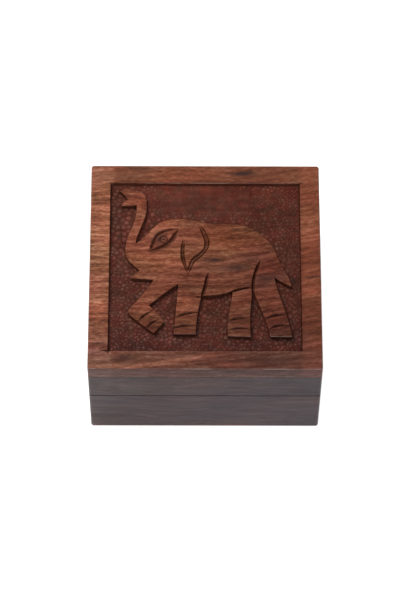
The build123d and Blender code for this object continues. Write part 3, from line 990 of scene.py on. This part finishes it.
def ground_stain_shade_and_highlight():
    """Stain and painted shade in the rings, bare wood and a painted highlight on tops, a little polish."""
    material, tree, shader = new_finish("punched_ground_stain_shade_and_highlight")
    place = object_place(tree)
    height = add(tree, "Attribute", attribute_name="rise").outputs["Fac"]
    base = ramp(tree, height, [(0.0, GROUND_RING), (0.34, GROUND_MIDDLE), (0.9, GROUND_TOP)])
    tones = round_noise(tree, place, 70.0, 4.0)
    base = tinted(tree, base, tones, [(0.34, grey(0.86)), (0.66, grey(1.12))], 0.9)
    blots = round_noise(tree, place, 300.0, 2.0)
    base = tinted(tree, base, blots, [(0.34, grey(0.86)), (0.66, grey(1.16))])
    lines = squeezed_noise(tree, place, 700.0, 0.10, detail=3.0)
    base = tinted(tree, base, lines, [(0.35, grey(0.82)), (0.65, grey(1.12))], 0.7)
    hues = round_noise(tree, place, 240.0, 3.0)
    base = tinted(tree, base, hues, [(0.38, (0.94, 1.08, 1.08)), (0.62, (1.04, 0.90, 0.90))])
    base = mix(tree, "MULTIPLY", 1.0, base, by_place(tree, "X", GROUND_LEFT_TO_RIGHT))
    base = mix(tree, "MULTIPLY", 1.0, base, by_place(tree, "Y", GROUND_FRONT_TO_BACK))
    for centre, reach, tone in GROUND_PATCHES_AND_PAINTED_LIGHT:
        base = mix(tree, "MULTIPLY", patch(tree, centre, reach), base, grey(tone))
    pale_specks = ramp(tree, round_noise(tree, place, 1100.0, 3.0), [(0.57, grey(0.0)), (0.70, grey(0.6))])
    pale_specks = mix(tree, "MULTIPLY", 1.0, pale_specks, by_place(tree, "Y", PALE_SPECKS_FRONT_TO_BACK))
    base = mix(tree, "MIX", pale_specks, base, PALE_SPECK_COLOUR)
    knot = math_node(tree, "MULTIPLY", patch(tree, *KNOT), 1.4, clamp=True)
    base = mix(tree, "MIX", knot, base, KNOT_BROWN)
    rough = ramp(tree, height, [(0.1, grey(0.60)), (0.9, grey(0.30))])
    crumbs = round_noise(tree, place, 1500.0, 4.0)
    finish_with(tree, shader, base, rough, crumbs, strength=0.4, distance=0.15 * MM)
    shader.inputs["Specular IOR Level"].default_value = 0.075
    return material


carved_ground = to_object(ground, "carved_ground", ground_stain_shade_and_highlight(), math.radians(75))
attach(carved_ground, "lid")
print("ground faces:", len(carved_ground.data.polygons))

# %% [markdown]
# ## The walls and the floor
#
# The eight walls are mitred lengths of the same wood, with the grain along each of them, so the
# front and back take it as it is and the sides take it turned by a quarter. Each wall could have
# a finish of its own, but on a real box the lid is sawn off a closed case, so the grain runs on
# across the parting line: the base and the lid wall of one side share a finish, and object
# coordinates carry the pattern over the line. The walls' browns are darker and greyer than the
# board's, which paints the shade of the box's front into the wood. Over the grain lie brown and
# bluish clouds, partly the wood's own and partly a painted reflection of uneven sheen, dirt in
# the joints, the glue line of each mitre and pale worn edges.

# %% Clouds and joints on the walls
# Cool grey patches and the clouds stand partly for uneven sheen: a painted reflection.
COOL_SHEEN_GREY = (0.049, 0.0325, 0.047)
WALL_FACE = 50.2 * MM
PARTING_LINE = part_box("base_wall_front")[1].z / MM
GLUE_LINE = board_low.z / MM
JOINTS = [
    (0.0, 2.1), (1.2, 2.1), (1.9, 1.0),
    (PARTING_LINE - 0.7, 1.0), (PARTING_LINE - 0.3, 0.35), (PARTING_LINE + 0.3, 0.35),
    (PARTING_LINE + 0.7, 0.80), (GLUE_LINE - 0.5, 0.80), (GLUE_LINE, 0.5),
]


def clouded(tree, base):
    """Slow light and dark clouds along the wall, and cooler grey patches, partly a painted uneven sheen."""
    place = object_place(tree)
    smoke = squeezed_noise(tree, place, 40.0, 0.45, detail=4.0)
    base = tinted(tree, base, smoke, [(0.36, grey(0.64)), (0.64, grey(1.30))])
    cool = squeezed_noise(tree, place, 48.0, 0.35, detail=3.0)
    return mix(tree, "MIX", ramp(tree, cool, [(0.38, grey(0.0)), (0.62, grey(0.55))]), base, COOL_SHEEN_GREY)


def dark_joints(tree, base):
    """Dirt in the parting line and under the board, a pale foot, and the mitres' glue lines."""
    across, along, away = from_middle(tree)
    outside = math_node(tree, "GREATER_THAN", away, WALL_FACE)
    base = mix(tree, "MULTIPLY", outside, base, by_place(tree, "Z", JOINTS))
    # A mitre lies where a point is equally far from the middle along X and along Y.
    apart = math_node(tree, "ABSOLUTE", math_node(tree, "SUBTRACT", across, along))
    return tinted(tree, base, times(tree, apart, 1 / MM), [(0.05, grey(0.35)), (0.25, grey(1.0))])


def wall_marks(tree, base):
    """Everything that sets the walls' colour apart from plain rosewood."""
    return worn_edges(tree, dark_joints(tree, clouded(tree, base)))


print("the parting line is", round(PARTING_LINE, 1), "mm up, and the glue line", round(GLUE_LINE, 1))

# %% Wood for the walls and the floor
# The walls' browns are darker and greyer than the board's: the front's shade is painted into them.
SHADED_WALL_BROWNS = [(0.031, 0.012, 0.010), (0.079, 0.0335, 0.032), (0.153, 0.074, 0.064)]
FLOOR_BROWNS = [(0.13, 0.065, 0.042), (0.24, 0.125, 0.075), (0.36, 0.20, 0.12)]
QUARTER = math.radians(90)
# For each side, how its grain is turned, and which part of the log it comes from.
LOG_PLACES = {
    "front": ((0, 0, 0), (0.31, 0.0, 0.17)),
    "back": ((0, 0, 0), (0.92, 0.2, 0.41)),
    "left": ((0, 0, QUARTER), (0.53, 0.4, 0.83)),
    "right": ((0, 0, QUARTER), (1.27, 0.6, 0.62)),
}


def dress(node, material):
    """A CAD node shown with a better finish."""
    nodes[node].material_slots[0].material = material


for side, (turn, shift) in LOG_PLACES.items():
    wood = rosewood(
        f"{side}_wall_rosewood", SHADED_WALL_BROWNS, wall_marks, turn, shift, contrast=0.65, length=2.0
    )
    dress(f"base_wall_{side}", wood)
    dress(f"lid_wall_{side}", wood)
dress(
    "base_floor", rosewood("floor_board_wood", FLOOR_BROWNS, worn_edges, shift=(0.4, 0.9, 0.2), gloss=0.6)
)
print("walls dressed:", 2 * len(LOG_PLACES))

# %% [markdown]
# ## The felt
#
# A sheet of felt lies on the floor inside and keeps the dice quiet. Felt has no weave: it is
# pressed fibre, slightly uneven, with a soft nap that glows at grazing angles. A plain slab with
# a red finish would look like card, and combed hair would be far too heavy for a lining. So the
# sheet is a fine grid with a little swell in it and a soft edge, closed below to its real
# millimetre, and its nap is the shader's sheen over a mottled red.

# %% The felt's sheet
felt_low, felt_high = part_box("felt_lining")
FELT_CELLS = 120
FELT_SWELL, FELT_LOWERED = 0.03 * MM, 0.05 * MM
EDGE_DROP, EDGE_WIDTH = 0.25 * MM, 0.7 * MM
felt = level_sheet(
    felt_low.x, felt_high.x, felt_low.y, felt_high.y, felt_high.z, FELT_CELLS, FELT_CELLS
)
for vert in felt.verts:
    x, y = vert.co.x, vert.co.y
    swell = noise(vert.co * 90) + 0.5 * noise(vert.co * 400)
    to_edge = min(x - felt_low.x, felt_high.x - x, y - felt_low.y, felt_high.y - y)
    dropped = EDGE_DROP * max(0.0, 1 - to_edge / EDGE_WIDTH) ** 2
    vert.co.z += FELT_SWELL * swell - FELT_LOWERED - dropped
close_below(felt, felt_low.z)
print("felt points:", len(felt.verts))


# %% Red felt
def red_felt():
    """Mottled red with fine fibres, no shine, and a sheen at grazing angles."""
    material, tree, shader = new_finish("red_felt")
    place = object_place(tree)
    mottle = round_noise(tree, place, 160.0, 5.0)
    fibre = {"Vector": place, "Scale": 1500.0, "Detail": 6.0, "Distortion": 2.0}
    fibre = add(tree, "TexNoise", fibre).outputs["Fac"]
    base = ramp(tree, mottle, [(0.3, (0.16, 0.012, 0.018)), (0.7, (0.27, 0.022, 0.030))])
    base = tinted(tree, base, fibre, [(0.3, grey(0.7)), (0.7, grey(1.2))])
    bump = add(tree, "Bump", {"Height": fibre, "Strength": 0.6, "Distance": 0.3 * MM})
    tree.links.new(base, shader.inputs["Base Color"])
    tree.links.new(bump.outputs[0], shader.inputs["Normal"])
    shader.inputs["Roughness"].default_value = 0.95
    shader.inputs["Sheen Weight"].default_value = 0.6
    shader.inputs["Sheen Tint"].default_value = (0.9, 0.45, 0.45, 1.0)
    shader.inputs["Specular IOR Level"].default_value = 0.1
    return material


floor_felt = to_object(felt, "floor_felt", red_felt(), math.radians(60))
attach(floor_felt, "base")
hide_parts("felt_lining")

# %% [markdown]
# ## Brass
#
# The hinges are stamped brass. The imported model's leaves, pins and screws already have their real
# shapes, so they stay, and only their finish is made here. Brass is never one clean gold: the
# rolling mill leaves fine lines along the leaf, air dulls it in brown patches, and fingers keep
# the edges bright. The lines are the same squeezed noise as the wood's grain, only much finer.

# %% Brass
CLEAN_BRASS, DULL_BRASS, RUBBED_BRASS = (0.80, 0.58, 0.27), (0.36, 0.21, 0.08), (0.92, 0.74, 0.42)


def brass(name, tarnish, line_scale):
    """Rolled brass with fine lines, dull patches and bright edges."""
    material, tree, shader = new_finish(name)
    place = object_place(tree)
    lines = squeezed_noise(tree, place, line_scale, 0.02, detail=2.0)
    patches = round_noise(tree, place, 420.0, 4.0)
    dulled = ramp(tree, patches, [(0.38, grey(0.0)), (0.72, grey(tarnish))])
    base = mix(tree, "MIX", dulled, CLEAN_BRASS, DULL_BRASS)
    base = worn_edges(tree, base, 0.15 * MM, RUBBED_BRASS)
    rough = math_node(tree, "MULTIPLY_ADD", lines, 0.25, 0.2)
    rough = math_node(tree, "MULTIPLY_ADD", patches, 0.2, rough)
    finish_with(tree, shader, base, rough, lines, strength=0.2, distance=0.05 * MM)
    shader.inputs["Metallic"].default_value = 1.0
    return material


leaf_brass = brass("rolled_leaf_brass", 0.75, 2600.0)
pin_brass = brass("drawn_pin_brass", 0.4, 3800.0)
screw_brass = brass("turned_screw_brass", 0.55, 3200.0)
for side in ("left", "right"):
    dress(f"{side}_hinge_pin", pin_brass)
    for body in ("base", "lid"):
        dress(f"{side}_hinge_{body}_leaf", leaf_brass)
        dress(f"{side}_hinge_{body}_screws", screw_brass)
print("brass finishes:", leaf_brass.name, pin_brass.name, screw_brass.name)

# %% [markdown]
# ## Floor, light and camera
#
# The box stands on a white floor in a white room. A floor lit until it looks white would throw
# that light on the wood as well. So the floor glows only for the rays that show it: those from
# the camera, and those that come by a reflection or through glass. The room is white for the same
# rays, and for the rest it is a dimmer, even light on the box. The floor still darkens round the
# box. It is open where the box stands, so that the underside can be looked at from below. A wide
# soft lamp above and behind the box picks out the carving, and a weak cool one fills the front.

# %% The floor
FLOOR_REACH = 3.0
UNDER_BOX = 50.3 * MM
FLOOR_GLOW = 0.8
FLOOR_GREY = 0.86


def seen_ray(tree):
    """1 for the rays that show a thing to the eye: straight, in a reflection or through glass."""
    path = add(tree, "LightPath").outputs
    mirrored = math_node(tree, "MAXIMUM", path["Is Glossy Ray"], path["Is Transmission Ray"])
    return math_node(tree, "MAXIMUM", path["Is Camera Ray"], mirrored)


def white_floor():
    """Matt pale grey that takes shadows, and a glow that shows but lights nothing."""
    material, tree, _ = new_finish("white_floor")
    tree.nodes.clear()
    glow = times(tree, seen_ray(tree), FLOOR_GLOW)
    emission = add(tree, "Emission", {"Color": (1, 1, 1, 1), "Strength": glow})
    diffuse = add(tree, "BsdfDiffuse", {"Color": (*grey(FLOOR_GREY), 1)})
    both = add(tree, "AddShader", {0: emission.outputs[0], 1: diffuse.outputs[0]})
    add(tree, "OutputMaterial", {"Surface": both.outputs[0]})
    return material


floor_mesh = bmesh.new()
bmesh.ops.create_grid(floor_mesh, x_segments=3, y_segments=3, size=FLOOR_REACH)
for vert in floor_mesh.verts:
    for axis in (0, 1):
        if abs(vert.co[axis]) < FLOOR_REACH / 2:
            vert.co[axis] = math.copysign(UNDER_BOX, vert.co[axis])
covered = min(floor_mesh.faces, key=lambda face: face.calc_area())
bmesh.ops.delete(floor_mesh, geom=[covered], context="FACES_ONLY")
print("floor faces:", len(floor_mesh.faces))
to_object(floor_mesh, "floor", white_floor())

# %% The white room
ROOM_LIGHT, ROOM_WHITE = 0.38, 1.0
world = bpy.data.worlds.new("white_room")
bpy.context.scene.world = world
world.use_nodes = True
room = world.node_tree
room.nodes.clear()
strength = math_node(room, "MULTIPLY_ADD", seen_ray(room), ROOM_WHITE - ROOM_LIGHT, ROOM_LIGHT)
background = add(room, "Background", {"Color": (1, 1, 1, 1), "Strength": strength})
add(room, "OutputWorld", {"Surface": background.outputs[0]})
print("the room lights the box at", ROOM_LIGHT)

# %% Lamps
AIM = Vector((0, 0, 0.03))


def soft_lamp(name, place, size, power, colour):
    """A square area lamp at a place, aimed at the box."""
    data = bpy.data.lights.new(name, "AREA")
    data.size = size
    data.energy = power
    data.color = colour
    lamp = bpy.data.objects.new(name, data)
    bpy.context.scene.collection.objects.link(lamp)
    lamp.location = place
    lamp.rotation_euler = (AIM - Vector(place)).to_track_quat("-Z", "Y").to_euler()
    return lamp


key = soft_lamp("key_behind", (-0.62, 0.62, 0.95), size=0.5, power=9.0, colour=(1.0, 0.97, 0.93))
# Mirrored in the wax, the lamp's square would be a glare, so only its soft light is kept.
key.visible_glossy = False
fill = soft_lamp("fill_front", (0.1, -1.1, 0.45), size=0.8, power=1.7, colour=(0.78, 0.90, 1.0))
print("lamps:", key.name, fill.name)

# %% Camera
CAMERA_PLACE = (-0.00496, -0.59356, 1.14906)
LENS = 168.6
PITCH, TURN, ROLL = 62.22, -0.40, 0.484
camera_data = bpy.data.cameras.new("camera")
camera_data.lens = LENS
camera_data.sensor_width = 36.0
camera = bpy.data.objects.new("camera", camera_data)
bpy.context.scene.collection.objects.link(camera)
camera.location = CAMERA_PLACE
turned = (
    Matrix.Rotation(math.radians(TURN), 3, "Z")
    @ Matrix.Rotation(math.radians(90 - PITCH), 3, "X")
    @ Matrix.Rotation(math.radians(ROLL), 3, "Z")
)
camera.rotation_euler = turned.to_euler()
bpy.context.scene.camera = camera
bpy.context.scene.view_settings.view_transform = "Standard"
print("the camera looks down at", PITCH, "degrees")
